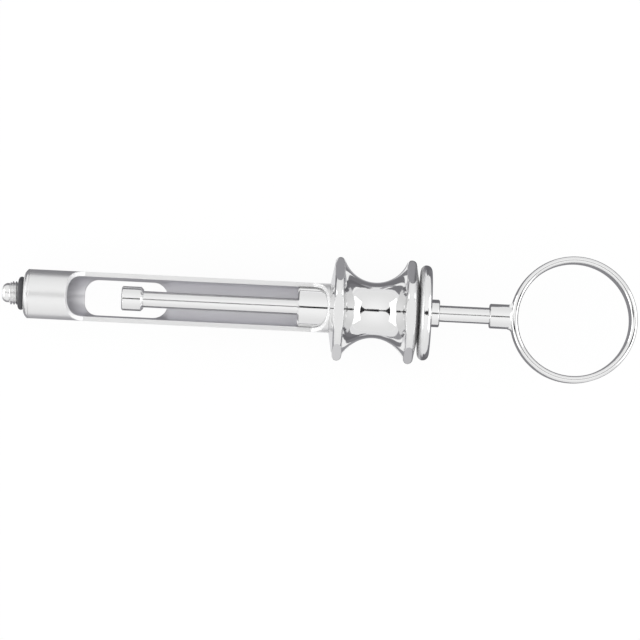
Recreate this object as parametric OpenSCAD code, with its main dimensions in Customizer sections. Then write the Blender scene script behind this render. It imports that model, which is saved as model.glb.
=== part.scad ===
// Dental aspirating syringe, side loading, with a spool finger grip, a sprung
// pressure sleeve worked by a thumb disc, and a plunger with a thumb ring.
// The long axis is X with the needle end at -X. It lies on the flats of the spool.

/* [Needle adaptor] */
// Length of the threaded stub ahead of the nose face
stub_len = 5.55; // [4.5:0.05:7]
// Crest radius of the needle thread
thread_r = 2.95; // [2.7:0.05:3.3]
// Radius of the plain tip ahead of the thread
tip_r = 2.4; // [2.1:0.05:2.6]
// Length of the plain tip
tip_len = 2; // [1.6:0.1:2.4]
// Rounding of the tip's front edge
tip_round = 1.4; // [0.8:0.05:1.45]
// Radius of the neck that carries the seal ring
neck_r = 2.72; // [2.5:0.02:2.8]
// Radius of the bore that the needle's rear end passes
needle_bore_r = 0.9; // [0.5:0.05:1.1]
// Thickness of the domed nose flange
nose_len = 1.45; // [1.2:0.05:1.9]
// Radius of the flat part of the nose face
nose_flat_r = 4.2; // [4.1:0.05:4.6]
// Radius of the dome round that flat part
nose_round = 2.5; // [2.3:0.05:3.2]
// Length of the shank screwed into the barrel
shank_len = 3.6; // [2.5:0.1:4.5]
// Length of the pressing nose behind the shank
press_nose_len = 1.2; // [0.6:0.1:1.6]
// Radius of the pressing nose at its face
press_nose_r = 2.6; // [1.8:0.1:3.4]

/* [Seal ring] */
// Thickness of the rubber seal ring on the neck
seal_t = 1.42; // [1.2:0.02:1.5]

/* [Barrel] */
// Outer radius of the barrel tube
barrel_r = 6.15; // [5.9:0.05:6.6]
// Radius of the barrel's bore
bore_r = 5; // [4.7:0.05:5.2]
// Distance from the nose face to the spool
barrel_len = 76.4; // [72:0.2:84]
// Distance from the nose face to the front end of the loading window
window_front = 10.7; // [9:0.1:13.5]
// Width of the tube left between the loading window and the spool
window_rear_land = 0.1; // [0.05:0.05:1.5]
// Radius of the loading window's end curves, seen from the side
window_curve = 12; // [11:0.1:14]
// Height of these curves' centres above the axis
window_curve_z = 9.5; // [7.5:0.1:10.5]
// Distance from the nose face to the sight window in the back wall
sight_front = 14.65; // [14:0.15:18.5]
// Length of the sight window
sight_len = 21; // [16:0.5:26]
// Width of the sight window
sight_w = 9; // [7:0.1:9.4]
// Corner radius of the sight window
sight_corner = 3.6; // [2:0.1:4.3]
// Turn of the loading window from the spool's upper flat, in degrees
window_turn = 8; // [0:1:15]
// Length of the barrel's spigot inside the spool
spigot_len = 7.2; // [5:0.1:9]
// Radius of the barrel's spigot
spigot_r = 5.6; // [5.4:0.05:5.8]

/* [Finger spool] */
// Length of the spool over its end faces
spool_len = 22.3; // [20:0.1:25]
// Outer radius of the spool's rims
rim_r = 13; // [12.6:0.1:14]
// Thickness of the full-round rims
rim_t = 2.5; // [2.2:0.02:2.6]
// Distance from an end face to the middle of its rim
rim_inset = 2.25; // [2:0.05:2.6]
// Distance from the axis to the six flats on the rims
flat_r = 12; // [11.95:0.05:12.4]
// Radius of the waist at its narrowest
waist_r = 6.95; // [6.6:0.05:7.6]
// Radius of the land round each end face
land_r = 6.25; // [6.1:0.05:6.8]
// Thickness of the rear wall that guides the sleeve
rear_wall = 5; // [3:0.1:7]

/* [Pressure sleeve] */
// Length of the sleeve's head
head_len = 12.3; // [9:0.1:15]
// Chamfer on the head's front edge
head_chamfer = 0.4; // [0.2:0.05:0.8]
// Outer radius of the sleeve's stem
stem_r = 3.4; // [3.2:0.05:3.6]
// Radius of the stem's threaded end
stem_end_r = 2.8; // [2.6:0.05:2.95]
// Length of the spring with the sleeve drawn right back
spring_pressed_len = 7; // [6.5:0.1:8.5]
// How far the sleeve can be drawn back
sleeve_travel = 6; // [4:0.5:7]
// Thickness of the spring wire
spring_wire = 0.7; // [0.5:0.05:0.8]
// Number of turns of the spring
spring_turns = 7; // [5:1:8]
// Distance from the head's front face to the groove of the friction ring
groove_inset = 2; // [1.5:0.1:4]
// Thickness of the rubber friction ring
grip_t = 1.44; // [1:0.02:1.6]

/* [Thumb disc and collar] */
// Outer radius of the thumb disc
disc_r = 11.9; // [10.5:0.1:11.9]
// Thickness of the thumb disc
disc_t = 2.85; // [2.2:0.05:3.4]
// Gap between the spool and the thumb disc
disc_gap = 0.05; // [0.02:0.01:0.5]
// Outer radius of the lock collar
collar_r = 3.45; // [3.3:0.05:4.2]
// Length of the lock collar
collar_len = 2.25; // [1.6:0.05:3]

/* [Plunger] */
// Radius of the plunger rod
rod_r = 2.05; // [1.9:0.05:2.15]
// Radius of the rod's screwed ends
rod_end_r = 1.4; // [1.1:0.05:1.6]
// Length of the rod's screwed ends
rod_end_len = 3.7; // [3:0.1:4.2]
// How far the plunger can be pressed in
push_travel = 12.5; // [8:0.5:17]
// How far the plunger can be drawn back
pull_travel = 38.6; // [30:0.1:42]
// Length of the piston head
piston_len = 5.35; // [4.8:0.05:7]
// Radius of the piston head
piston_r = 3.05; // [2.8:0.05:3.8]
// Chamfer on the piston head's rear edge
piston_chamfer = 0.6; // [0.2:0.05:0.8]

/* [Thumb ring] */
// Radius of the ring's hub
hub_r = 3.08; // [2.7:0.02:3.4]
// Length of the hub from its front face to the ring
hub_len = 5.3; // [4.8:0.1:7]
// Radius of the fillet where the hub meets the ring
hub_fillet = 1; // [0.6:0.1:1.4]
// Outer radius of the thumb ring
ring_r = 15.8; // [14:0.1:18]
// Wall thickness of the thumb ring
ring_wall = 1.75; // [1.5:0.05:2.4]
// Width of the thumb ring, over its full-round edges
ring_w = 6; // [5.6:0.1:7]
// Slope of the hub's end where it runs down to the ring, in degrees
hub_slope = 30; // [20:1:45]

/* [Hidden] */
$fn = 96;

// Clearances: radial for a sliding fit, radial for a screwed joint, and for a rubber ring
slide_fit = 0.06;
screw_fit = 0.03;
seal_fit = 0.03;
// Depth left free beyond the end of a screwed spigot
end_play = 0.3;
// Chamfer on the small turned edges
fine_chamfer = 0.25;
// Share of the rim's rounding by which the spool's body reaches past the rim's centre
rim_overlap = 0.3;

// Stations along the axis, measured from the nose face
spool_x = barrel_len;
spool_end_x = spool_x + spool_len;
window_rear = spool_x - window_rear_land;
chamber_x = spool_x + spigot_len + end_play;
chamber_floor_x = spool_end_x - rear_wall;
spring_len = spring_pressed_len + sleeve_travel;
head_rear_x = chamber_floor_x - spring_len;
head_x = head_rear_x - head_len;
groove_x = head_x + groove_inset;
disc_x = spool_end_x + disc_gap;
collar_x = disc_x + disc_t;
collar_end_x = collar_x + collar_len;
hub_x = collar_end_x + push_travel;
piston_rear_x = head_x - pull_travel;
piston_x = piston_rear_x - piston_len;
ring_x = hub_x + hub_len + ring_r;

// Radii that follow from a fit
shank_r = bore_r - screw_fit;
head_r = bore_r - slide_fit;
sleeve_bore_r = rod_r + slide_fit;
stem_guide_r = stem_r + slide_fit;
socket_r = rod_end_r + screw_fit;
stem_thread_bore_r = stem_end_r + screw_fit;
grip_mid_r = rod_r + seal_fit + grip_t / 2;
groove_r = grip_mid_r + grip_t / 2 + seal_fit;
groove_w = grip_t + 2 * seal_fit;
spring_mid_r = (stem_r + bore_r) / 2;
rim_round = rim_t / 2;

// The thumb ring's wall ends in full-round edges
ring_round = ring_wall / 2;
ring_mid_r = ring_r - ring_round;
ring_straight = ring_w - 2 * ring_round;

// The concave waist curve runs between the rims and just touches the waist's radius
rim_mid_r = rim_r - rim_round;
rim_top_r = rim_mid_r + rim_overlap * rim_round;
rim_reach = rim_round * sqrt(1 - pow(rim_overlap, 2)) - fine_chamfer / 10;
waist_half = spool_len / 2 - rim_inset - rim_reach;
waist_curve = (pow(waist_half, 2) + pow(rim_top_r - waist_r, 2)) / (2 * (rim_top_r - waist_r));

// Middle of the whole length, which is the origin
mid_x = (ring_x + ring_r - stub_len) / 2;

module place() translate([-mid_x, 0, flat_r]) children();

module turned_to_window() rotate([-window_turn, 0, 0]) children();

// A turned piece: the profile's first coordinate is the radius and its second the station
module turned() rotate([0, 90, 0]) rotate_extrude() children();

// A cylinder or tube wall in such a profile
module wall(r_in, r_out, x_front, x_rear)
    translate([r_in, x_front]) square([r_out - r_in, x_rear - x_front]);

// The same with its outer edges chamfered
module chamfered_wall(r_in, r_out, x_front, x_rear, front_cut, rear_cut)
    polygon([[r_in, x_front], [r_out - front_cut, x_front], [r_out, x_front + front_cut],
             [r_out, x_rear - rear_cut], [r_out - rear_cut, x_rear], [r_in, x_rear]]);

// A rectangle with round corners, laid from its first corner
module round_rect(length, width, corner) {
    for (x = [corner, length - corner], y = [corner, width - corner])
        translate([x, y]) circle(corner);
    translate([corner, 0]) square([length - 2 * corner, width]);
    translate([0, corner]) square([length, width - 2 * corner]);
}

// The loading window's cutter stands on the axis plane and has curved ends
module window_cutter() {
    top = 2 * barrel_r;
    reach = sqrt(pow(window_curve, 2) - pow(window_curve_z - barrel_r, 2));
    front_mid = window_front + reach;
    rear_mid = window_rear - reach;
    rotate([90, 0, 0]) translate([0, 0, -top]) linear_extrude(2 * top) intersection() {
        translate([window_front - barrel_r, 0])
            square([window_rear - window_front + 2 * barrel_r, window_curve_z]);
        union() {
            for (mid = [front_mid, rear_mid]) translate([mid, window_curve_z]) circle(window_curve);
            translate([front_mid, 0]) square([rear_mid - front_mid, window_curve_z]);
        }
    }
}

module sight_cutter()
    translate([sight_front, -sight_w / 2, -2 * barrel_r])
        linear_extrude(2 * barrel_r) round_rect(sight_len, sight_w, sight_corner);

module barrel() color([0.82, 0.82, 0.84]) place() turned_to_window() difference() {
    turned() {
        wall(bore_r, barrel_r, nose_len, spool_x);
        wall(bore_r, spigot_r, spool_x - 1, spool_x + spigot_len);
    }
    window_cutter();
    sight_cutter();
}

module needle_adaptor() color([0.88, 0.88, 0.9]) place() turned() {
    seat_x = -seal_t - seal_fit;
    shank_end_x = nose_len + shank_len;
    // Tip with a rounded front edge
    intersection() {
        wall(needle_bore_r, tip_r, -stub_len, tip_len - stub_len);
        union() {
            wall(0, tip_r - tip_round, -stub_len, 0);
            wall(0, tip_r, tip_round - stub_len, 0);
            translate([tip_r - tip_round, tip_round - stub_len]) circle(tip_round);
        }
    }
    wall(needle_bore_r, thread_r, tip_len - stub_len, seat_x);
    wall(needle_bore_r, neck_r, seat_x, 0);
    // Nose flange with a domed edge
    intersection() {
        chamfered_wall(needle_bore_r, barrel_r, 0, nose_len, fine_chamfer, fine_chamfer / 2);
        union() {
            wall(0, nose_flat_r, 0, nose_len);
            translate([nose_flat_r, nose_round]) circle(nose_round);
        }
    }
    wall(needle_bore_r, shank_r, nose_len, shank_end_x);
    polygon([[needle_bore_r, shank_end_x], [press_nose_r + press_nose_len, shank_end_x],
             [press_nose_r, shank_end_x + press_nose_len], [needle_bore_r, shank_end_x + press_nose_len]]);
}

module nose_seal() color([0.16, 0.16, 0.18]) place() turned()
    translate([neck_r + seal_fit + seal_t / 2, -seal_t / 2]) circle(seal_t / 2);

// One half of the spool's outline, from an end face to just past the middle of the waist
module spool_half() {
    half_end = spool_len / 2 + rim_round;
    difference() {
        polygon([[0, 0], [land_r, 0], [rim_top_r, rim_inset - rim_reach], [rim_top_r, half_end],
                 [0, half_end]]);
        translate([waist_r + waist_curve, spool_len / 2]) circle(waist_curve);
    }
    translate([rim_mid_r, rim_inset]) circle(rim_round);
}

module finger_spool() color([0.88, 0.88, 0.9]) place() difference() {
    intersection() {
        turned() {
            translate([0, spool_x]) spool_half();
            translate([0, spool_end_x]) mirror([0, 1]) spool_half();
        }
        translate([spool_x - 1, 0, 0]) rotate([0, 90, 0]) rotate(30)
            cylinder(r = flat_r / cos(30), h = spool_len + 2, $fn = 6);
    }
    turned() {
        wall(0, spigot_r + screw_fit, spool_x - 1, chamber_x);
        wall(0, bore_r, spool_x, chamber_floor_x);
        wall(0, stem_guide_r, spool_x, spool_end_x + 1);
    }
}

module pressure_sleeve() color([0.88, 0.88, 0.9]) place() turned() difference() {
    union() {
        chamfered_wall(sleeve_bore_r, head_r, head_x, head_rear_x, head_chamfer, fine_chamfer);
        wall(sleeve_bore_r, stem_r, head_rear_x - 1, disc_x);
        wall(sleeve_bore_r, stem_end_r, disc_x - 1, collar_end_x - fine_chamfer);
    }
    wall(0, groove_r, groove_x, groove_x + groove_w);
}

// The spring's end turns lie close and the turns between share the rest of its length
function spring_climb(turn) =
    turn < 1 ? turn * spring_wire
    : turn > spring_turns - 1 ? spring_len - 2 * slide_fit - spring_wire * (spring_turns + 1 - turn)
    : spring_wire + (turn - 1) * (spring_len - 2 * slide_fit - 3 * spring_wire) / (spring_turns - 2);

module return_spring() color([0.7, 0.7, 0.72]) place() translate([head_rear_x + slide_fit, 0, 0]) {
    steps = 18;
    sides = 8;
    rings = spring_turns * steps;
    points = [for (i = [0:rings], k = [0:sides - 1])
        let (around = 360 * i / steps, section = 360 * k / sides,
             r = spring_mid_r + spring_wire / 2 * cos(section))
        [spring_climb(i / steps) + spring_wire / 2 * (1 + sin(section)), r * cos(around), r * sin(around)]];
    sides_faces = [for (i = [0:rings - 1], k = [0:sides - 1])
        let (a = i * sides + k, b = i * sides + (k + 1) % sides)
        [b, a, a + sides, b + sides]];
    first_end = [for (k = [0:sides - 1]) k];
    last_end = [for (k = [sides - 1:-1:0]) rings * sides + k];
    polyhedron(points, concat(sides_faces, [first_end, last_end]));
}

module grip_ring() color([0.16, 0.16, 0.18]) place() turned()
    translate([grip_mid_r, groove_x + groove_w / 2]) circle(grip_t / 2);

module thumb_disc() color([0.88, 0.88, 0.9]) place() turned() {
    wall(stem_thread_bore_r, disc_r - disc_t / 2, disc_x, collar_x);
    translate([disc_r - disc_t / 2, disc_x + disc_t / 2]) circle(disc_t / 2);
}

module lock_collar() color([0.88, 0.88, 0.9]) place() turned()
    chamfered_wall(stem_thread_bore_r, collar_r, collar_x, collar_end_x, fine_chamfer, fine_chamfer);

module plunger_rod() color([0.88, 0.88, 0.9]) place() turned() {
    wall(0, rod_end_r, piston_rear_x - rod_end_len, hub_x + rod_end_len);
    wall(0, rod_r, piston_rear_x, hub_x);
}

module piston_head() color([0.88, 0.88, 0.9]) place() turned() difference() {
    chamfered_wall(0, piston_r, piston_x, piston_rear_x, fine_chamfer, piston_chamfer);
    wall(0, socket_r, piston_rear_x - rod_end_len - end_play, piston_rear_x + 1);
}

module ring_hub() color([0.88, 0.88, 0.9]) place() turned_to_window() difference() {
    fillet_y = hub_r + hub_fillet;
    fillet_x = ring_x - sqrt(pow(ring_r + hub_fillet, 2) - pow(fillet_y, 2));
    union() {
        turned() chamfered_wall(0, hub_r, hub_x, ring_x - ring_r / 2, fine_chamfer, fine_chamfer);
        // Fillets towards the straight part of the ring's outer wall
        translate([0, 0, -ring_straight / 2]) linear_extrude(ring_straight) difference() {
            polygon([[fillet_x, -fillet_y], [ring_x, 0], [fillet_x, fillet_y]]);
            for (side = [-1, 1]) translate([fillet_x, side * fillet_y]) circle(hub_fillet);
        }
    }
    turned() wall(0, socket_r, hub_x - 1, hub_x + rod_end_len + end_play);
    translate([ring_x, 0, 0]) rotate_extrude() {
        translate([0, -ring_w]) square([ring_mid_r, 2 * ring_w]);
        ring_section();
        for (side = [-1, 1]) scale([1, side]) hub_slope_cut();
    }
}

// The thumb ring's section, with full-round edges
module ring_section() {
    for (side = [-1, 1]) translate([ring_mid_r, side * ring_straight / 2]) circle(ring_round);
    translate([ring_r - ring_wall, -ring_straight / 2]) square([ring_wall, ring_straight]);
}

// What the hub's end loses above the ring, from halfway round the ring's edge outwards
module hub_slope_cut() {
    edge_r = ring_mid_r + ring_round * sin(45);
    edge_z = ring_straight / 2 + ring_round * cos(45);
    polygon([[0, edge_z], [edge_r, edge_z], [edge_r + ring_w, edge_z + ring_w * tan(hub_slope)],
             [0, edge_z + ring_w * tan(hub_slope)]]);
}

module thumb_ring() color([0.88, 0.88, 0.9]) place() turned_to_window() translate([ring_x, 0, 0])
    rotate_extrude() ring_section();

barrel();
needle_adaptor();
nose_seal();
finger_spool();
pressure_sleeve();
return_spring();
grip_ring();
thumb_disc();
lock_collar();
plunger_rod();
piston_head();
ring_hub();
thumb_ring();
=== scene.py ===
# %% [markdown]
# # A dental aspirating syringe, polished steel on white
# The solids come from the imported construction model: a tube with a loading window, a spool
# for the fingers, a sprung sleeve with its thumb disc, and a plunger that ends in a ring.
# This lesson gives them their finish, cuts the needle thread and winds the spring, then
# lights everything as a catalogue photograph does. Lengths are metres unless named mm.

import math

import bmesh
import bpy
from mathutils import Matrix, Vector


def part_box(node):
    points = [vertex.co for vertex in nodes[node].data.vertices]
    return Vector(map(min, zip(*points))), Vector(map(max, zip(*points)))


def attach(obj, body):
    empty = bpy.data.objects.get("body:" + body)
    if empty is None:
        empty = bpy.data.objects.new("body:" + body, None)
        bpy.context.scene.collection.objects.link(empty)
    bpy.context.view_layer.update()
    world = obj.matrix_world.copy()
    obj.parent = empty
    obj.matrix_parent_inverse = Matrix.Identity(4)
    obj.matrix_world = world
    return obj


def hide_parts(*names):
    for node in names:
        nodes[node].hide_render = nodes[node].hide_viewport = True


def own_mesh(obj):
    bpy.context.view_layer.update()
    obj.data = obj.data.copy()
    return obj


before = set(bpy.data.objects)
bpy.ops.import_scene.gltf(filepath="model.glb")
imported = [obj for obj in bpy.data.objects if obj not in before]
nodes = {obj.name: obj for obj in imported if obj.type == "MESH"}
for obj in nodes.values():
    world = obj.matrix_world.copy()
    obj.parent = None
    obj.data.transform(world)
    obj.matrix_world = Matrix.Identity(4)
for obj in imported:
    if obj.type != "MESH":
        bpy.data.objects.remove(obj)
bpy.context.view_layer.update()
print("nodes:", ", ".join(sorted(nodes)))

# %% [markdown]
# ## Where things are
# The syringe's axis runs along X at the height of the spool's flats, because it lies on two
# of them. Positions on the part are counted in millimetres from the nose face of the tube,
# so a small helper turns such a station into a place in the scene.

# %% Stations along the axis
MM = 0.001
AXIS_HEIGHT = 12 * MM
MIDDLE_STATION = 73.85


def at_station(station_mm):
    """The X coordinate of a station counted in mm from the nose face."""
    return (station_mm - MIDDLE_STATION) * MM


print("nose face at x =", at_station(0))

# %% [markdown]
# ## A camera that stands where the photographer stood
# The photograph looks down on the lying syringe from about two thirds of a metre, through
# a long lens, and a few degrees round the axis, so one flat of the spool faces it almost
# squarely. The picture's right and up directions are written out and become the columns of
# the camera's matrix. That is easier to check than a set of angles.

# %% Camera
CAMERA_LEAN = math.radians(5)
CAMERA_ROLL = math.radians(2.79)
CAMERA_DISTANCE = 0.675
LENS_MM = 151.9
AIM_ALONG = 0.0003
AIM_NEARER = 0.00305

towards_camera = Vector((0, math.sin(CAMERA_LEAN), math.cos(CAMERA_LEAN)))
across = Vector((0, math.cos(CAMERA_LEAN), -math.sin(CAMERA_LEAN)))
along = Vector((1, 0, 0))
picture_right = along * math.cos(CAMERA_ROLL) + across * math.sin(CAMERA_ROLL)
picture_up = across * math.cos(CAMERA_ROLL) - along * math.sin(CAMERA_ROLL)
aim = Vector((AIM_ALONG, 0, AXIS_HEIGHT)) - across * AIM_NEARER

camera = bpy.data.objects.new("camera", bpy.data.cameras.new("camera"))
bpy.context.scene.collection.objects.link(camera)
camera.data.lens = LENS_MM
camera.data.clip_start = 0.01
camera.data.clip_end = 20
turned = Matrix((picture_right, picture_up, towards_camera)).transposed()
camera.matrix_world = Matrix.Translation(aim + towards_camera * CAMERA_DISTANCE) @ turned.to_4x4()
bpy.context.scene.camera = camera
print("camera at", [round(c, 4) for c in camera.matrix_world.translation])

# %% [markdown]
# ## Maths written as maths
# A node tree is easier to read as an expression than as boxes and lines. This class wraps
# one socket. Adding or multiplying wraps adds a Math node, and `node` adds any other node
# with its settings and its inputs, which may be numbers or other wrapped sockets. A ramp
# turns a stretch of values into 0 to 1, which is how most masks begin.


# %% A wrapped socket
class Wire:
    """One socket of a node tree, with arithmetic."""

    def __init__(self, tree, socket=None):
        self.tree = tree
        self.socket = socket

    def node(self, kind, settings=None, sockets=None, out=0):
        made = self.tree.nodes.new(kind)
        for name, value in (settings or {}).items():
            setattr(made, name, value)
        for key, value in (sockets or {}).items():
            if isinstance(value, Wire):
                self.tree.links.new(value.socket, made.inputs[key])
            else:
                made.inputs[key].default_value = value
        return Wire(self.tree, made.outputs[out] if len(made.outputs) else None)

    def output(self, name):
        return Wire(self.tree, self.socket.node.outputs[name])

    def maths(self, operation, *values):
        return self.node("ShaderNodeMath", {"operation": operation}, dict(enumerate(values)))

    def ramp(self, value, low, high):
        """0 at low, 1 at high, and an even slope between."""
        return self.node(
            "ShaderNodeMapRange", {"clamp": True}, {"Value": value, "From Min": low, "From Max": high}
        )

    def __add__(self, other):
        return self.maths("ADD", self, other)

    def __radd__(self, other):
        return self.maths("ADD", other, self)

    def __sub__(self, other):
        return self.maths("SUBTRACT", self, other)

    def __rsub__(self, other):
        return self.maths("SUBTRACT", other, self)

    def __mul__(self, other):
        return self.maths("MULTIPLY", self, other)

    def __rmul__(self, other):
        return self.maths("MULTIPLY", other, self)

    def __truediv__(self, other):
        return self.maths("DIVIDE", self, other)

    def __rtruediv__(self, other):
        return self.maths("DIVIDE", other, self)


print("arithmetic on sockets is ready")

# %% [markdown]
# ## How every material begins and ends
# Each material starts as an empty tree and ends in one output, so two small helpers do that.
# A third stretches a noise, because the marks of turning, brushing and wiping are all long
# in one direction and short in the other.


# %% Helpers for materials
def new_material(name):
    """An empty node material, and its tree ready for arithmetic."""
    material = bpy.data.materials.new(name)
    material.use_nodes = True
    material.node_tree.nodes.clear()
    return material, Wire(material.node_tree)


def finish_surface(tree, shader):
    tree.node("ShaderNodeOutputMaterial", sockets={"Surface": shader})


def stretched_noise(tree, place, stretch, detail, roughness=0.5, turn=(0.0, 0.0, 0.0)):
    """Noise that runs at its own rate along each axis, in cells per metre, after a turn."""
    mapped = tree.node(
        "ShaderNodeMapping", sockets={"Vector": place, "Rotation": turn, "Scale": stretch}
    )
    return tree.node(
        "ShaderNodeTexNoise",
        sockets={"Vector": mapped, "Scale": 1.0, "Detail": detail, "Roughness": roughness},
    )


print("material helpers are ready")

# %% [markdown]
# ## Steel off the lathe
# Every metal part of this syringe was turned, then polished or brushed. Turning leaves very
# fine rings round the axis. They are a noise that is stretched: quick along X, slow across.
# It drives a faint bump and a small change of roughness. A second, broad noise gives the
# handling marks that keep a polished part from looking like plain chrome, and a third, long
# and thin, gives a few fine scratches. A real edge is a little round, and the Bevel node
# bends the light there without a change to the mesh.

# %% A turned steel finish
HAND_MARKS_PER_M = 150.0
SCRATCH_TURN = (0.3, 0.5, 0.8)
SCRATCH_STRETCH = (90.0, 2400.0, 2400.0)
SCRATCH_START, SCRATCH_FULL = 0.70, 0.78
SCRATCH_DULLER = 0.03
TONE_SWING = 0.03
RING_SHARE = 0.8
# Per channel, the painted cool tint: the violet of dark reflections, put into the colour.
PAINTED_TINT_SHIFT = (-0.005, -0.010, 0.017)


def turned_steel(
    name, tone, gloss, ring_count, ring_depth, smudge, arc_length, edge_round, places=None
):
    """Steel with turning rings.

    ring_count is how quickly the rings follow each other along the axis and arc_length how
    quickly one changes across it, both per metre. ring_depth and edge_round are metres, and
    smudge is how far the roughness wanders.

    places(tree, place) gives what differs from place to place, by name: duller adds to the roughness,
    lighter multiplies the tone, and the other two go from 0 to 1. One is a painted cool tint of
    reflections, the other a painted shade in a gap, which also takes away metal."""
    material, tree = new_material(name)
    place = tree.node("ShaderNodeTexCoord", out="Object")
    rings = stretched_noise(tree, place, (ring_count, arc_length, arc_length), detail=3.0, roughness=0.6)
    scratches = stretched_noise(tree, place, SCRATCH_STRETCH, detail=1.0, turn=SCRATCH_TURN)
    hands = tree.node(
        "ShaderNodeTexNoise",
        sockets={"Vector": place, "Scale": HAND_MARKS_PER_M, "Detail": 4.0, "Roughness": 0.55},
    )
    changes = places(tree, place) if places else {}
    roughness = gloss + (hands - 0.5) * smudge + (rings - 0.5) * (smudge * RING_SHARE)
    roughness = roughness + tree.ramp(scratches, SCRATCH_START, SCRATCH_FULL) * SCRATCH_DULLER
    roughness = roughness + changes.get("duller", 0.0)
    shade = (hands * TONE_SWING + (1.0 - TONE_SWING)) * tone * changes.get("lighter", 1.0)
    # A painted cool tint, the violet of dark reflections, where the mask asks for it.
    if "painted_cool_tint" in changes:
        red, green, blue = (shade * (changes["painted_cool_tint"] * shift + 1.0) for shift in PAINTED_TINT_SHIFT)
        shade = tree.node("ShaderNodeCombineColor", sockets={"Red": red, "Green": green, "Blue": blue})
    bump = tree.node(
        "ShaderNodeBump", sockets={"Strength": 1.0, "Distance": ring_depth, "Height": rings}
    )
    if edge_round:
        worn = tree.node("ShaderNodeBevel", {"samples": 4}, {"Radius": edge_round})
        tree.tree.links.new(worn.socket, bump.socket.node.inputs["Normal"])
    # Painted gap shade also takes away metal, so the dark line stays dark at flat angles.
    metallic = 1.0 - changes["painted_gap_shade"] if "painted_gap_shade" in changes else 1.0
    shader = tree.node(
        "ShaderNodeBsdfPrincipled",
        sockets={"Base Color": shade, "Metallic": metallic, "Roughness": roughness, "Normal": bump},
    )
    finish_surface(tree, shader)
    return material


print("the turned finish is ready")

# %% [markdown]
# ## Where the finish changes
# Not every face of a turned part sees the polishing wheel, and a few places get painted light or shade.
# Which face a point is on follows from its place on the part, so each change of finish and each painted
# mark is a mask made from the distance along the axis, to the side, above the axis and from the axis. A
# mask that is made this way needs no unwrapping and stays with the part when the part moves.


# %% Places on a part in millimetres
def part_coordinates(tree, place):
    """Station, side, height over the axis and radius of a surface point, all in mm."""
    parts = tree.node("ShaderNodeSeparateXYZ", sockets={"Vector": place})
    station = parts.output("X") / MM + MIDDLE_STATION
    side = parts.output("Y") / MM
    height = (parts.output("Z") - AXIS_HEIGHT) / MM
    return station, side, height, tree.maths("SQRT", side * side + height * height)


print("places can be measured in mm")

# %% [markdown]
# ## The milled window of the tube
# The tube is brushed outside. The window is milled later, so its cut faces are lighter, and the two curved
# ends, where the cutter turned round, are also duller. That lightness is partly the milled finish and
# partly a painted highlight, which the ends get twice. The wall inside the tube is a little darker, and it
# has a painted cool tint of the violet dark reflections. The bore and the outside are told apart by radius,
# and the curved ends by a surface that faces along the axis.

# %% The milled tube
BORE_RADIUS = 5.0
TUBE_RADIUS = 6.15
BORE_MARGIN = 0.04
TUBE_MARGIN = 0.05
END_FACING = 0.3
MILLED_AND_HIGHLIGHT_LIGHTER = 0.081
END_DULLER = 0.25
BORE_DARKER = 0.045


def milled_tube(tree, place):
    radius = part_coordinates(tree, place)[3]
    inside = tree.maths("LESS_THAN", radius, BORE_RADIUS + BORE_MARGIN)
    cut = (1.0 - inside) * tree.maths("LESS_THAN", radius, TUBE_RADIUS - TUBE_MARGIN)
    facing = tree.node("ShaderNodeNewGeometry", out="Normal")
    along_x = tree.maths("ABSOLUTE", tree.node("ShaderNodeSeparateXYZ", sockets={"Vector": facing}))
    ends = cut * tree.maths("GREATER_THAN", along_x, END_FACING)
    # Lighter cut faces, partly milled finish and partly painted highlight; the ends get it twice, and the
    # bore is darker.
    lighter = (cut + ends) * MILLED_AND_HIGHLIGHT_LIGHTER + 1.0 - inside * BORE_DARKER
    # The bore gets the painted cool tint of dark reflections.
    return {"duller": ends * END_DULLER, "lighter": lighter, "painted_cool_tint": inside}


print("milled faces lie between radius", BORE_RADIUS, "and", TUBE_RADIUS, "mm")

# %% [markdown]
# ## Ground flats, and faces that look at each other
# The spool's six flats are ground after turning and reflect a shade less. A point is on a
# flat when its distance from the axis, measured square to one of the six, is the full one.
# The spool's rear face and the disc's front face stand a hair apart, where no wheel reaches,
# so they stay rough and the gap between them looks dark.

# %% The ground spool and the plain disc front
FLAT_DISTANCE = 12.0
FLAT_MARGIN = 0.01
SIXTH_TURN = math.radians(60)
FLAT_DARKER = 0.11
UNPOLISHED_DULLER = 0.45
SPOOL_POLISH_END, SPOOL_PLAIN_START = 97.3, 97.9
DISC_POLISH_START, DISC_PLAIN_END = 99.9, 99.2


def ground_spool(tree, place):
    station, side, height, _ = part_coordinates(tree, place)
    upwards, sideways = height * math.cos(SIXTH_TURN), side * math.sin(SIXTH_TURN)
    level_pair = tree.maths("ABSOLUTE", height)
    first_pair = tree.maths("ABSOLUTE", upwards + sideways)
    second_pair = tree.maths("ABSOLUTE", upwards - sideways)
    reach = tree.maths("MAXIMUM", tree.maths("MAXIMUM", first_pair, second_pair), level_pair)
    flats = tree.maths("GREATER_THAN", reach, FLAT_DISTANCE - FLAT_MARGIN)
    plain = tree.ramp(station, SPOOL_POLISH_END, SPOOL_PLAIN_START)
    return {"duller": plain * UNPOLISHED_DULLER, "lighter": 1.0 - flats * FLAT_DARKER}


def plain_disc_front(tree, place):
    station = part_coordinates(tree, place)[0]
    return {"duller": tree.ramp(station, DISC_POLISH_START, DISC_PLAIN_END) * UNPOLISHED_DULLER}


print("flats lie", FLAT_DISTANCE, "mm from the axis")

# %% [markdown]
# ## The dark line on the sleeve's head
# Where the sleeve's head disappears under the window's edge, the narrow gap holds shadow, and that shadow
# is painted onto the head as a dark line. The window's edge rises towards the spool in an arc, seen from
# the side, so its place is worked out from that arc, and the line follows it at an even width. It fades
# under the tube and is stronger on the far side. Bare metal turns bright at a flat angle whatever its tone,
# so the painted shade is also made less metallic.

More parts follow.
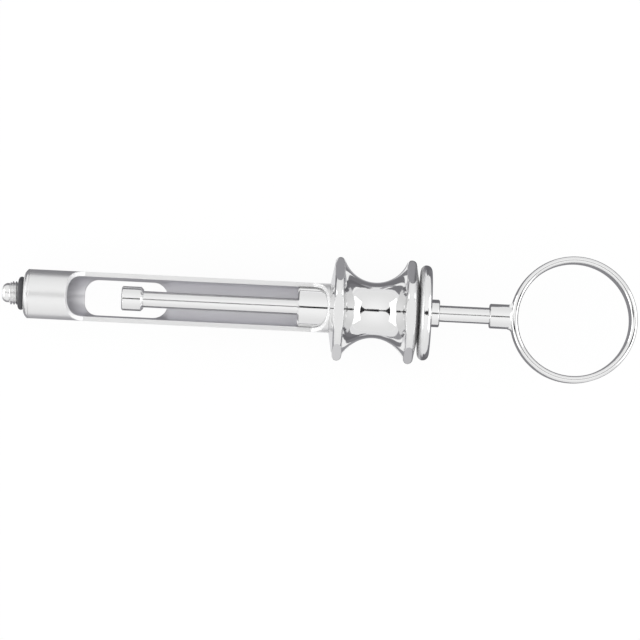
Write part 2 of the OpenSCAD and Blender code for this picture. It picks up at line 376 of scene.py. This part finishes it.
# %% The shaded head
WINDOW_TURN = math.radians(8)
HEAD_RADIUS = 4.94
CURVE_RADIUS = 12.0
CURVE_HEIGHT = 9.5
CURVE_STATION = 64.777
LINE_OUTER, LINE_INNER = 0.52, 0.38
LINE_GONE, LINE_FULL = 76.5, 72.0
NEAR_SHARE = 0.4
LINE_DARKER = 0.9


def shaded_head(tree, place):
    station, side, height, _ = part_coordinates(tree, place)
    across_window = side * math.cos(WINDOW_TURN) - height * math.sin(WINDOW_TURN)
    from_curve = station - CURVE_STATION
    curve = tree.maths("SQRT", tree.maths("MAXIMUM", CURVE_RADIUS**2 - from_curve * from_curve, 0.0))
    edge = tree.maths("MAXIMUM", CURVE_HEIGHT - curve, 0.0)
    edge_across = tree.maths("SQRT", tree.maths("MAXIMUM", HEAD_RADIUS**2 - edge * edge, 0.0))
    to_edge = edge_across - tree.maths("ABSOLUTE", across_window)
    line = tree.ramp(to_edge, LINE_OUTER, LINE_INNER) * tree.ramp(station, LINE_GONE, LINE_FULL)
    line = line * (tree.ramp(across_window, -1.0, 1.0) * (1.0 - NEAR_SHARE) + NEAR_SHARE)
    # Painted shade of the gap: darker and less metallic along the window's edge.
    return {"lighter": 1.0 - line * LINE_DARKER, "painted_gap_shade": line}


print("the head's line ends at station", LINE_GONE, "mm")

# %% [markdown]
# ## The metals
# Rims, rod, disc and ring are polished bright. The adaptor is finely turned, the tube is
# brushed to a satin, and the spring is drawn wire. Parts that share the polish differ only in
# their masks and in how round their edges are. The thumb ring's edges are fully round in
# the mesh itself, so its steel needs no rounding from the material.

# %% The metals
POLISH = {
    "tone": 0.845,
    "gloss": 0.06,
    "ring_count": 5200,
    "ring_depth": 2e-7,
    "smudge": 0.04,
    "arc_length": 90,
}
RIM_ROUND = 0.3 * MM
HEAD_ROUND = 0.1 * MM
polished = turned_steel("polished_turned_steel", edge_round=RIM_ROUND, **POLISH)
ring_steel = turned_steel("polished_ring_steel", edge_round=0, **POLISH)
spool_steel = turned_steel("polished_spool_steel", edge_round=RIM_ROUND, places=ground_spool, **POLISH)
disc_steel = turned_steel("polished_disc_steel", edge_round=RIM_ROUND, places=plain_disc_front, **POLISH)
head_steel = turned_steel("polished_sleeve_steel", edge_round=HEAD_ROUND, places=shaded_head, **POLISH)
fine_turned = turned_steel(
    "fine_turned_steel",
    tone=0.87,
    gloss=0.26,
    ring_count=7000,
    ring_depth=3e-7,
    smudge=0.05,
    arc_length=150,
    edge_round=0.12 * MM,
)
satin = turned_steel(
    "satin_brushed_steel",
    tone=0.86,
    gloss=0.36,
    ring_count=9000,
    ring_depth=1.5e-6,
    smudge=0.05,
    arc_length=200,
    edge_round=0.35 * MM,
    places=milled_tube,
)
spring_wire = turned_steel(
    "drawn_spring_wire",
    tone=0.72,
    gloss=0.22,
    ring_count=900,
    ring_depth=1e-6,
    smudge=0.08,
    arc_length=900,
    edge_round=0.05 * MM,
)
print("steels:", polished.name, fine_turned.name, satin.name, spring_wire.name)

# %% [markdown]
# ## Rubber
# The seal on the neck and the friction ring in the sleeve are nitrile rubber: nearly black,
# with a soft sheen that is broken by mould texture and a little dust. The sheen is a thin
# coat over the dull black, which is how a smooth moulded skin behaves.

# %% Rubber
RUBBER_BLACK = (0.018, 0.018, 0.021, 1)
RUBBER_DUSTY = (0.045, 0.045, 0.052, 1)
GRAIN_PER_M = 3500.0
GRAIN_DEPTH = 1.5e-5
DUST_PER_M = 700.0
CLEAN_ROUGHNESS = 0.36
DUST_DULLER = 0.2


def moulded_rubber(name):
    material, tree = new_material(name)
    place = tree.node("ShaderNodeTexCoord", out="Object")
    grain = tree.node(
        "ShaderNodeTexNoise", sockets={"Vector": place, "Scale": GRAIN_PER_M, "Detail": 4.0}
    )
    dust = tree.node(
        "ShaderNodeTexNoise", sockets={"Vector": place, "Scale": DUST_PER_M, "Detail": 5.0}
    )
    shade = tree.node(
        "ShaderNodeMix",
        {"data_type": "RGBA"},
        {"Factor": dust, "A": RUBBER_BLACK, "B": RUBBER_DUSTY},
        out="Result",
    )
    bump = tree.node(
        "ShaderNodeBump", sockets={"Strength": 0.6, "Distance": GRAIN_DEPTH, "Height": grain}
    )
    shader = tree.node(
        "ShaderNodeBsdfPrincipled",
        sockets={
            "Base Color": shade,
            "Roughness": CLEAN_ROUGHNESS + dust * DUST_DULLER,
            "Coat Weight": 0.7,
            "Coat Roughness": 0.16,
            "Normal": bump,
        },
    )
    finish_surface(tree, shader)
    return material


rubber = moulded_rubber("nitrile_rubber")
print("rubber:", rubber.name)

# %% [markdown]
# ## Dress the solids
# A solid whose shape is right keeps its mesh. Only its material slots are filled again, so
# nothing of the construction model moves.

# %% Assign the finishes
FINISHES = {
    "barrel": satin,
    "finger_spool": spool_steel,
    "pressure_sleeve": head_steel,
    "thumb_disc": disc_steel,
    "lock_collar": polished,
    "plunger_rod": polished,
    "piston_head": polished,
    "ring_hub": polished,
    "thumb_ring": ring_steel,
    "nose_seal": rubber,
    "grip_ring": rubber,
}
for node_name, finish in FINISHES.items():
    solid = nodes[node_name]
    solid.data.materials.clear()
    solid.data.materials.append(finish)
    print(node_name, "->", finish.name)

# %% [markdown]
# ## The needle adaptor
# The adaptor is a turned plug: a rounded tip, the thread for the needle, a neck with the
# seal, a domed flange and a shank that screws into the tube. A turned part is a profile that
# is spun about the axis, so its outline is listed once, with arcs where the real edges are
# rounded, and swept in even steps. The thread is left out here and follows as its own piece,
# on a bed that is cut a little deeper than the tip.


# %% Spin a profile
ROUND_STEPS = 144
ARC_STEPS = 14
SHARP_EDGE = math.radians(28)


def arc_points(station, radius, reach, start_deg, stop_deg):
    """Points of an arc in a profile: 0 degrees is outwards, 90 is towards the thumb ring."""
    points = []
    for step in range(ARC_STEPS + 1):
        angle = math.radians(start_deg + (stop_deg - start_deg) * step / ARC_STEPS)
        points.append((station + reach * math.sin(angle), radius + reach * math.cos(angle)))
    return points


def spun_mesh(name, profile):
    """A closed ring of profile points (station mm, radius mm) spun about the axis."""
    shape = bmesh.new()
    rows = []
    for step in range(ROUND_STEPS):
        angle = 2 * math.pi * step / ROUND_STEPS
        row = []
        for station, radius in profile:
            across_y = radius * MM * math.cos(angle)
            up_z = AXIS_HEIGHT + radius * MM * math.sin(angle)
            row.append(shape.verts.new((at_station(station), across_y, up_z)))
        rows.append(row)
    count = len(profile)
    for step in range(ROUND_STEPS):
        this_row, next_row = rows[step], rows[(step + 1) % ROUND_STEPS]
        for k in range(count):
            j = (k + 1) % count
            shape.faces.new((this_row[k], this_row[j], next_row[j], next_row[k]))
    bmesh.ops.recalc_face_normals(shape, faces=shape.faces)
    for face in shape.faces:
        face.smooth = True
    for edge in shape.edges:
        edge.smooth = edge.calc_face_angle(0) < SHARP_EDGE
    mesh = bpy.data.meshes.new(name)
    shape.to_mesh(mesh)
    shape.free()
    piece = bpy.data.objects.new(name, mesh)
    bpy.context.scene.collection.objects.link(piece)
    return piece


print("a profile is spun in", ROUND_STEPS, "steps")

# %% The adaptor's profile
BORE_R = 0.9
TIP_R = 2.4
TIP_FRONT = -5.55
TIP_ROUND = 1.4
BORE_BREAK = 0.1
THREAD_FRONT = -3.55
THREAD_REAR = -1.45
THREAD_R = 2.95
THREAD_STEP = 0.05
THREAD_BED_R = TIP_R - 0.1
NECK_R = 2.72
FACE_R = 4.2
DOME_R = 2.5
FLANGE_R = 6.15
FLANGE_REAR = 1.45
FLANGE_BREAK = 0.12
DOME_END_DEG = math.degrees(math.asin((FLANGE_R - FACE_R) / DOME_R)) - 90
SHANK_R = 4.97
SHANK_REAR = 5.05
NOSE_BASE_R = 3.8
NOSE_TIP_R = 2.6
NOSE_REAR = 6.25

adaptor_profile = (
    [(TIP_FRONT + BORE_BREAK, BORE_R), (TIP_FRONT, BORE_R + BORE_BREAK)]
    + arc_points(TIP_FRONT + TIP_ROUND, TIP_R - TIP_ROUND, TIP_ROUND, -90, 0)
    + [(THREAD_FRONT, TIP_R), (THREAD_FRONT + THREAD_STEP, THREAD_BED_R)]
    + [(THREAD_REAR - THREAD_STEP, THREAD_BED_R), (THREAD_REAR, NECK_R), (0, NECK_R)]
    + arc_points(DOME_R, FACE_R, DOME_R, -90, DOME_END_DEG)
    + [(FLANGE_REAR - FLANGE_BREAK, FLANGE_R), (FLANGE_REAR, FLANGE_R - FLANGE_BREAK)]
    + [(FLANGE_REAR, SHANK_R), (SHANK_REAR, SHANK_R), (SHANK_REAR, NOSE_BASE_R)]
    + [(NOSE_REAR, NOSE_TIP_R), (NOSE_REAR, BORE_R)]
)
adaptor = spun_mesh("needle_adaptor_body", adaptor_profile)
adaptor.data.materials.append(fine_turned)
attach(adaptor, "barrel_body")
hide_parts("needle_adaptor")
print("adaptor:", len(adaptor.data.polygons), "faces")

# %% [markdown]
# ## The needle thread
# A screw thread follows a rule: its ridge climbs one pitch for each turn. Geometry Nodes
# take a flat grid and roll it round the axis, and the height of each point above the core
# comes from where it lies between two crests. Whole turns are added there, so that the
# fraction is taken of a positive number. A ridge has steep sides, a flat crest and a narrow
# root, and the ends are cut down to the core, as the tool runs out there.


# %% Helpers for geometry trees
def new_tree(name, inputs):
    """A geometry tree with named inputs. Returns it with wrapped sockets for the inputs."""
    tree = bpy.data.node_groups.new(name, "GeometryNodeTree")
    for label, kind in inputs:
        tree.interface.new_socket(label, in_out="INPUT", socket_type=kind)
    tree.interface.new_socket("Mesh", in_out="OUTPUT", socket_type="NodeSocketGeometry")
    wire = Wire(tree)
    given = tree.nodes.new("NodeGroupInput")
    return tree, wire, {label: Wire(tree, given.outputs[label]) for label, _ in inputs}


def close_tree(wire, mesh, material):
    """Ends a geometry tree with real geometry and its material."""
    real = wire.node("GeometryNodeRealizeInstances", sockets={"Geometry": mesh})
    painted = wire.node("GeometryNodeSetMaterial", sockets={"Geometry": real, "Material": material})
    wire.node("NodeGroupOutput", sockets={"Mesh": painted})


def built_piece(name, tree, values):
    """Runs a geometry tree once and keeps the result as a plain mesh object."""
    carrier = bpy.data.objects.new(name + "_carrier", bpy.data.meshes.new(name + "_carrier"))
    bpy.context.scene.collection.objects.link(carrier)
    modifier = carrier.modifiers.new(name, "NODES")
    modifier.node_group = tree
    for item in tree.interface.items_tree:
        if item.item_type == "SOCKET" and item.in_out == "INPUT":
            modifier[item.identifier] = values[item.name]
    graph = bpy.context.evaluated_depsgraph_get()
    mesh = bpy.data.meshes.new_from_object(carrier.evaluated_get(graph))
    carrier.modifiers.clear()
    bpy.data.objects.remove(carrier)
    mesh.name = name
    piece = bpy.data.objects.new(name, mesh)
    bpy.context.scene.collection.objects.link(piece)
    return piece


print("geometry helpers are ready")

# %% The thread's tree
THREAD_INPUTS = [
    ("Front", "NodeSocketFloat"),
    ("Length", "NodeSocketFloat"),
    ("Core radius", "NodeSocketFloat"),
    ("Crest radius", "NodeSocketFloat"),
    ("Pitch", "NodeSocketFloat"),
    ("Rows", "NodeSocketInt"),
    ("Steps round", "NodeSocketInt"),
    ("Finish", "NodeSocketMaterial"),
]

CREST_SLOPE = 1.3
ROOT_WIDTH = 0.1
RUN_OUT_SLOPE = 1.6
WHOLE_TURNS = 8.0


def rolled_position(wire, station, angle, radius):
    """A point of a surface that is rolled round the axis."""
    return wire.node(
        "ShaderNodeCombineXYZ",
        sockets={
            "X": station,
            "Y": radius * wire.maths("COSINE", angle),
            "Z": AXIS_HEIGHT + radius * wire.maths("SINE", angle),
        },
    )


def thread_tree():
    tree, wire, given = new_tree("needle_thread", THREAD_INPUTS)
    grid = wire.node(
        "GeometryNodeMeshGrid",
        sockets={
            "Size X": 1.0,
            "Size Y": 1.0,
            "Vertices X": given["Rows"],
            "Vertices Y": given["Steps round"],
        },
    )
    flat = wire.node("GeometryNodeInputPosition")
    parts = wire.node("ShaderNodeSeparateXYZ", sockets={"Vector": flat})
    travel = parts.output("X") + 0.5
    around = parts.output("Y") + 0.5
    depth = given["Length"] * travel
    phase = wire.maths("FRACT", depth / given["Pitch"] - around + WHOLE_TURNS)
    ridge = wire.maths("ABSOLUTE", phase * 2.0 - 1.0)
    crest = wire.maths("MAXIMUM", ridge * CREST_SLOPE - ROOT_WIDTH, 0.0)
    crest = wire.maths("MINIMUM", crest, 1.0) * (given["Crest radius"] - given["Core radius"])
    to_end = wire.maths("MINIMUM", depth, given["Length"] - depth)
    height = wire.maths("MINIMUM", crest, to_end * RUN_OUT_SLOPE)
    radius = given["Core radius"] + height
    placed = rolled_position(wire, given["Front"] + depth, around * (2 * math.pi), radius)
    moved = wire.node("GeometryNodeSetPosition", sockets={"Geometry": grid, "Position": placed})
    sealed = wire.node("GeometryNodeMergeByDistance", sockets={"Geometry": moved, "Distance": 1e-6})
    smooth = wire.node("GeometryNodeSetShadeSmooth", sockets={"Geometry": sealed, "Shade Smooth": True})
    close_tree(wire, smooth, given["Finish"])
    return tree


CORE_R = TIP_R + 0.06
CREST_R = THREAD_R - 0.01
PITCH = 0.75
thread = built_piece(
    "needle_thread",
    thread_tree(),
    {
        "Front": at_station(THREAD_FRONT),
        "Length": (THREAD_REAR - THREAD_FRONT) * MM,
        "Core radius": CORE_R * MM,
        "Crest radius": CREST_R * MM,
        "Pitch": PITCH * MM,
        "Rows": 42,
        "Steps round": 145,
        "Finish": fine_turned,
    },
)
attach(thread, "barrel_body")
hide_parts("needle_adaptor")
print("thread:", len(thread.data.polygons), "faces")

# %% [markdown]
# ## The return spring
# The spring sits in the chamber behind the sleeve's head. One turn at each end is closed, so it climbs by
# one width of the wire, and the turns between share the rest of the length. The wire's path is a line whose
# points are moved onto the coil, and a round wire section is swept along it. When the thumb disc is drawn
# back the spring shortens from 13 mm to 7 mm, but this piece keeps the length of the construction model's
# spring.

# %% Wind the spring
SPRING_INPUTS = [
    ("Front", "NodeSocketFloat"),
    ("Length", "NodeSocketFloat"),
    ("Coil radius", "NodeSocketFloat"),
    ("Wire radius", "NodeSocketFloat"),
    ("Turns", "NodeSocketFloat"),
    ("Points", "NodeSocketInt"),
    ("Finish", "NodeSocketMaterial"),
]


def spring_tree():
    tree, wire, given = new_tree("return_spring", SPRING_INPUTS)
    line = wire.node("GeometryNodeCurvePrimitiveLine")
    points = wire.node("GeometryNodeResampleCurve", sockets={"Curve": line, "Count": given["Points"]})
    turn = wire.node("GeometryNodeSplineParameter", out="Factor") * given["Turns"]
    wire_width = given["Wire radius"] * 2.0
    open_turns = given["Turns"] - 2.0
    open_pitch = (given["Length"] - wire_width * 3.0) / open_turns
    first = wire.maths("MINIMUM", turn, 1.0) * wire_width
    middle = wire.maths("MINIMUM", wire.maths("MAXIMUM", turn - 1.0, 0.0), open_turns) * open_pitch
    last = wire.maths("MAXIMUM", turn - 1.0 - open_turns, 0.0) * wire_width
    station = given["Front"] + given["Wire radius"] + first + middle + last
    placed = rolled_position(wire, station, turn * (2 * math.pi), given["Coil radius"])
    path = wire.node("GeometryNodeSetPosition", sockets={"Geometry": points, "Position": placed})
    section = wire.node(
        "GeometryNodeCurvePrimitiveCircle", sockets={"Resolution": 16, "Radius": given["Wire radius"]}
    )
    swept = wire.node(
        "GeometryNodeCurveToMesh", sockets={"Curve": path, "Profile Curve": section, "Fill Caps": True}
    )
    smooth = wire.node("GeometryNodeSetShadeSmooth", sockets={"Geometry": swept, "Shade Smooth": True})
    close_tree(wire, smooth, given["Finish"])
    return tree


spring_low, spring_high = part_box("return_spring")
SPRING_WIRE_R = 0.35 * MM
SPRING_COIL_R = 4.2 * MM
SPRING_TURNS = 7.0
spring = built_piece(
    "return_spring_coil",
    spring_tree(),
    {
        "Front": spring_low.x,
        "Length": spring_high.x - spring_low.x,
        "Coil radius": SPRING_COIL_R,
        "Wire radius": SPRING_WIRE_R,
        "Turns": SPRING_TURNS,
        "Points": 337,
        "Finish": spring_wire,
    },
)
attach(spring, "barrel_body")
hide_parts("return_spring")
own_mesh(spring)
print("spring:", len(spring.data.polygons), "faces from", spring_low.x, "to", spring_high.x)

# %% [markdown]
# ## White ground
# The catalogue picture has no visible ground, only white. The floor is a pale matt sheet
# that keeps the syringe's soft shadow. For rays from the camera, and for rays that metal
# reflects, part of it is a plain white of strength 1, so the sheet reads as paper white
# without any more light on the steel.

# %% Floor
SHEET_HALF = 2.5
PLAIN_WHITE_SHARE = 0.93


def pale_sheet():
    mesh = bpy.data.meshes.new("floor_sheet")
    corners = [(-SHEET_HALF, -SHEET_HALF, 0), (SHEET_HALF, -SHEET_HALF, 0)]
    corners += [(SHEET_HALF, SHEET_HALF, 0), (-SHEET_HALF, SHEET_HALF, 0)]
    mesh.from_pydata(corners, [], [(0, 1, 2, 3)])
    sheet = bpy.data.objects.new("floor_sheet", mesh)
    bpy.context.scene.collection.objects.link(sheet)
    material, tree = new_material("pale_floor")
    ray = tree.node("ShaderNodeLightPath", out="Is Camera Ray")
    seen = ray.maths("MAXIMUM", ray, ray.output("Is Glossy Ray"))
    seen = ray.maths("MAXIMUM", seen, ray.output("Is Transmission Ray"))
    paper = tree.node("ShaderNodeBsdfDiffuse", sockets={"Color": (0.97, 0.97, 0.97, 1)})
    white = tree.node("ShaderNodeEmission", sockets={"Color": (1, 1, 1, 1), "Strength": 1.0})
    shader = tree.node("ShaderNodeMixShader", sockets={"Fac": seen * PLAIN_WHITE_SHARE, 1: paper, 2: white})
    finish_surface(tree, shader)
    mesh.materials.append(material)
    return sheet


floor = pale_sheet()
print("floor:", floor.name)

# %% [markdown]
# ## Light for polished metal
# Polished steel shows the room, so its look is made by what stands round it. The room is a
# white world here, because the catalogue picture has wide light areas on every part. The camera
# sees it at strength 1. What lights the steel is slightly weaker at the horizon and grows
# towards the zenith, as under a light tent, so the sides of a round part are a shade darker
# than its top.


# %% World
def white_world(horizon, zenith):
    world = bpy.data.worlds.new("studio")
    world.use_nodes = True
    world.node_tree.nodes.clear()
    tree = Wire(world.node_tree)
    ray = tree.node("ShaderNodeLightPath", out="Is Camera Ray")
    direction = tree.node("ShaderNodeTexCoord", out="Generated")
    rise = tree.node("ShaderNodeSeparateXYZ", sockets={"Vector": direction}).output("Z")
    room = rise * rise * (zenith - horizon) + horizon
    level = ray + room * (1.0 - ray)
    sky = tree.node("ShaderNodeBackground", sockets={"Color": (1, 1, 1, 1), "Strength": level})
    tree.node("ShaderNodeOutputWorld", sockets={"Surface": sky})
    bpy.context.scene.world = world
    return world


world = white_world(horizon=0.895, zenith=1.067)
print("world:", world.name)

# %% [markdown]
# ## Cards that only reflections see
# Every round part has dark edges, and here they are painted shade: the shade of the floor beside and under
# the syringe, as the steel mirrors it, is put on cards. A card is one face that glows at its own tone and
# is hidden from the camera, from diffuse light and from shadows, so it changes nothing but what metal
# mirrors. Dark card is a faint violet, a painted tint of the dark reflections.

# %% A card
# The violet of the dark cards is a painted tint of the reflections.
CARD_SHIFT = (0.015, 0.0, 0.080)
CARD_LIFT = 0.0004


def reflected_card(name, corners, tone):
    mesh = bpy.data.meshes.new(name)
    mesh.from_pydata(corners, [], [(0, 1, 2, 3)])
    card = bpy.data.objects.new(name, mesh)
    bpy.context.scene.collection.objects.link(card)
    material, tree = new_material(name + "_painted_reflection")
    colour = tuple(1 + shift * (1 - tone) for shift in CARD_SHIFT) + (1,)
    glow = tree.node("ShaderNodeEmission", sockets={"Color": colour, "Strength": tone})
    finish_surface(tree, glow)
    mesh.materials.append(material)
    card.visible_camera = False
    card.visible_diffuse = False
    card.visible_transmission = False
    card.visible_volume_scatter = False
    card.visible_shadow = False
    return card


def painted_floor_card(name, stations, sides, tone, lift=CARD_LIFT):
    """A card of painted floor, seen only by reflections, between two stations and two distances to the
    side.
    """
    (first, last), (start_y, end_y) = stations, sides
    corners = [(at_station(first), start_y, lift), (at_station(last), start_y, lift)]
    corners += [(at_station(last), end_y, lift), (at_station(first), end_y, lift)]
    return reflected_card(name, corners, tone)


def near(start, end):
    """A band on the near side of the axis, given by its distances from the axis."""
    return (-end, -start)


print("cards lie", CARD_LIFT, "m over the sheet")

# %% [markdown]
# ## Cards for each part
# The flank of a part mirrors the floor beside that part, so the painted floor shade is laid in runs along
# the axis, one for each part, and in bands to the side. Their tones were matched to the parts in the
# photograph: darkest beside the disc, a little lighter on the near side of the tube, and in several bands
# beside the spool, whose concave waist mirrors a wide piece of the floor. Lighter painted ground lies past
# the bands, at half the lift, so that the cards cover it.

# %% Ground, nose, tube and sleeve head
GROUND_RUN = (-500.0, 650.0)
TIP_RUN = (-35.0, -7.0)
BARREL_RUN = (-7.0, 68.0)
HEAD_RUN = (68.0, 74.5)
FAR_GROUND = 0.062
NEAR_GROUND = 0.046
GROUND_END = 0.6
GROUND_TONE = 0.88
GROUND_LIFT = CARD_LIFT / 2
TIP_START, TIP_END = 0.008, 0.050
BARREL_FAR_END, BARREL_NEAR_END = 0.070, 0.045
HEAD_FAR_START, HEAD_FAR_END = 0.0290, 0.0365
HEAD_NEAR_START, HEAD_NEAR_END = 0.0347, 0.0456
HEAD_TONE = 0.35
# Painted floor shade beside the nose, the tube and the head, and lighter painted ground further out; only
# reflections see it.
painted_floor_card("far_ground", GROUND_RUN, (FAR_GROUND, GROUND_END), GROUND_TONE, GROUND_LIFT)
painted_floor_card("near_ground", GROUND_RUN, near(NEAR_GROUND, GROUND_END), GROUND_TONE, GROUND_LIFT)
painted_floor_card("tip_far_card", TIP_RUN, (TIP_START, TIP_END), tone=0.22)
painted_floor_card("tip_near_card", TIP_RUN, near(TIP_START, TIP_END), tone=0.30)
painted_floor_card("barrel_far_card", BARREL_RUN, (0.0, BARREL_FAR_END), tone=0.22)
painted_floor_card("barrel_near_card", BARREL_RUN, near(0.0, BARREL_NEAR_END), tone=0.34)
painted_floor_card("head_far_card", HEAD_RUN, (HEAD_FAR_START, HEAD_FAR_END), HEAD_TONE)
painted_floor_card("head_near_card", HEAD_RUN, near(HEAD_NEAR_START, HEAD_NEAR_END), HEAD_TONE)
print("cards lie beside the nose, the tube and the head")

# %% The spool
BEFORE_SPOOL_RUN = (68.0, 76.0)
UNDER_SPOOL_RUN = (76.0, 98.5)
WAIST_RUN = (74.5, 98.5)
FRONT_RIM_RUN = (74.5, 82.0)
MID_WAIST_RUN = (82.0, 92.5)
REAR_RIM_RUN = (92.5, 98.5)
FAR_EDGE_RUN = (84.0, 89.0)
NEAR_EDGE_RUN = (85.0, 90.0)
FLAT_SHADE = 0.0122
WAIST_FAR_START, WAIST_FAR_END = 0.0148, 0.0276
WAIST_NEAR_START, WAIST_NEAR_END = 0.0180, 0.031
MID_FAR_END, MID_NEAR_END = 0.0355, 0.037
REAR_RIM_FAR_END = 0.054
# Painted floor shade under and beside the spool, seen only in reflections.
painted_floor_card("under_spool_card", UNDER_SPOOL_RUN, (-FLAT_SHADE, FLAT_SHADE), tone=0.42)
painted_floor_card("before_spool_card", BEFORE_SPOOL_RUN, (-WAIST_NEAR_START, WAIST_FAR_START), tone=0.76)
painted_floor_card("waist_far_card", WAIST_RUN, (WAIST_FAR_START, WAIST_FAR_END), tone=0.20)
painted_floor_card("waist_near_card", WAIST_RUN, near(WAIST_NEAR_START, WAIST_NEAR_END), tone=0.22)
painted_floor_card("mid_waist_far_card", MID_WAIST_RUN, (WAIST_FAR_END, MID_FAR_END), tone=0.27)
painted_floor_card("mid_waist_near_card", MID_WAIST_RUN, near(WAIST_NEAR_END, MID_NEAR_END), tone=0.34)
painted_floor_card("mid_waist_far_edge_card", FAR_EDGE_RUN, (FLAT_SHADE, WAIST_FAR_START), tone=0.24)
painted_floor_card("mid_waist_near_edge_card", NEAR_EDGE_RUN, near(FLAT_SHADE, WAIST_NEAR_START), tone=0.32)
painted_floor_card("mid_waist_far_ground", MID_WAIST_RUN, (MID_FAR_END, FAR_GROUND), GROUND_TONE)
painted_floor_card("mid_waist_near_ground", MID_WAIST_RUN, near(MID_NEAR_END, NEAR_GROUND), GROUND_TONE)
painted_floor_card("front_rim_far_card", FRONT_RIM_RUN, (WAIST_FAR_END, FAR_GROUND), tone=0.385)
painted_floor_card("front_rim_near_card", FRONT_RIM_RUN, near(WAIST_NEAR_END, NEAR_GROUND), tone=0.78)
painted_floor_card("rear_rim_far_card", REAR_RIM_RUN, (WAIST_FAR_END, REAR_RIM_FAR_END), tone=0.36)
painted_floor_card("rear_rim_near_card", REAR_RIM_RUN, near(WAIST_NEAR_END, NEAR_GROUND), tone=0.61)
print("cards lie under the spool and beside it")

# %% The disc, the rod and the ring
DISC_RUN = (98.5, 107.0)
ROD_RUN = (101.5, 122.0)
BEHIND_DISC_RUN = (107.0, 122.0)
RING_RUN = (122.0, 176.0)
ROD_SHADE = 0.0125
DISC_FAR_END, DISC_NEAR_END = 0.070, 0.055
BEHIND_FAR_END, BEHIND_NEAR_END = 0.056, 0.044
RING_SHADE = 0.040
DISC_TONE = 0.16
BEHIND_DISC_TONE = 0.20
# Painted floor shade beside the disc and the rod and under the ring, seen only in reflections.
painted_floor_card("disc_far_card", DISC_RUN, (ROD_SHADE, DISC_FAR_END), DISC_TONE)
painted_floor_card("disc_near_card", DISC_RUN, near(ROD_SHADE, DISC_NEAR_END), DISC_TONE)
painted_floor_card("rod_far_card", ROD_RUN, (0.0, ROD_SHADE), tone=0.20)
painted_floor_card("rod_near_card", ROD_RUN, near(0.0, ROD_SHADE), tone=0.22)
painted_floor_card("behind_disc_far_card", BEHIND_DISC_RUN, (ROD_SHADE, BEHIND_FAR_END), BEHIND_DISC_TONE)
painted_floor_card("behind_disc_near_card", BEHIND_DISC_RUN, near(ROD_SHADE, BEHIND_NEAR_END), BEHIND_DISC_TONE)
painted_floor_card("ring_card", RING_RUN, (-RING_SHADE, RING_SHADE), tone=0.26)
print("cards lie beside the disc and the rod and under the ring")

# %% [markdown]
# ## The card overhead
# One narrow dark card hangs over the syringe and draws the thin dark line along the middle
# of every round part. It is narrower over the tube's nose, where the photograph's line is
# fine, and it widens towards both ends, which the rims and the ring mirror. Each outline
# point is a reach along X with the strip's half width there.

# %% The card overhead
OVERHEAD = 0.5
OVERHEAD_TONE = 0.03
LEFT_OUTLINE = ((0.0, 0.044), (-0.094, 0.044), (-0.114, 0.019), (-0.36, 0.034), (-0.66, 0.19))
RIGHT_OUTLINE = ((0.0, 0.044), (0.36, 0.036), (0.66, 0.19))
overhead_mid = towards_camera * OVERHEAD + Vector((0, 0, AXIS_HEIGHT))
for label, outline in (("left", LEFT_OUTLINE), ("right", RIGHT_OUTLINE)):
    for part, ends in enumerate(zip(outline, outline[1:])):
        low = [(reach, overhead_mid.y - half, overhead_mid.z) for reach, half in ends]
        high = [(reach, overhead_mid.y + half, overhead_mid.z) for reach, half in reversed(ends)]
        reflected_card(f"overhead_card_{label}_{part + 1}", low + high, OVERHEAD_TONE)
print("the overhead card hangs at", [round(c, 4) for c in overhead_mid])

# %% [markdown]
# ## Two soft lamps
# A white world alone leaves almost no shadow. Two broad, weak lamps, one past each end of
# the syringe, give the sheet its faint soft shadow without a hot spot on the steel.

# %% Lamps
LAMP_REACH = 0.62
LAMP_HEIGHT = 0.24
LAMP_SIZE = (0.72, 0.40)
LAMP_WATTS = 1.15


def soft_lamp(name, place):
    lamp = bpy.data.objects.new(name, bpy.data.lights.new(name, "AREA"))
    bpy.context.scene.collection.objects.link(lamp)
    lamp.data.shape = "RECTANGLE"
    lamp.data.size, lamp.data.size_y = LAMP_SIZE
    lamp.data.energy = LAMP_WATTS
    lamp.location = place
    lamp.rotation_mode = "QUATERNION"
    lamp.rotation_quaternion = (Vector(place) - aim).to_track_quat("Z", "Y")
    return lamp


for label, side in (("left", -1), ("right", 1)):
    lamp = soft_lamp(label + "_soft_light", (side * LAMP_REACH, 0.0, LAMP_HEIGHT))
    print(lamp.name, "at", [round(c, 3) for c in lamp.location])

# %% [markdown]
# ## The view transform
# The picture is shown through the standard view transform.

bpy.context.scene.view_settings.view_transform = "Standard"
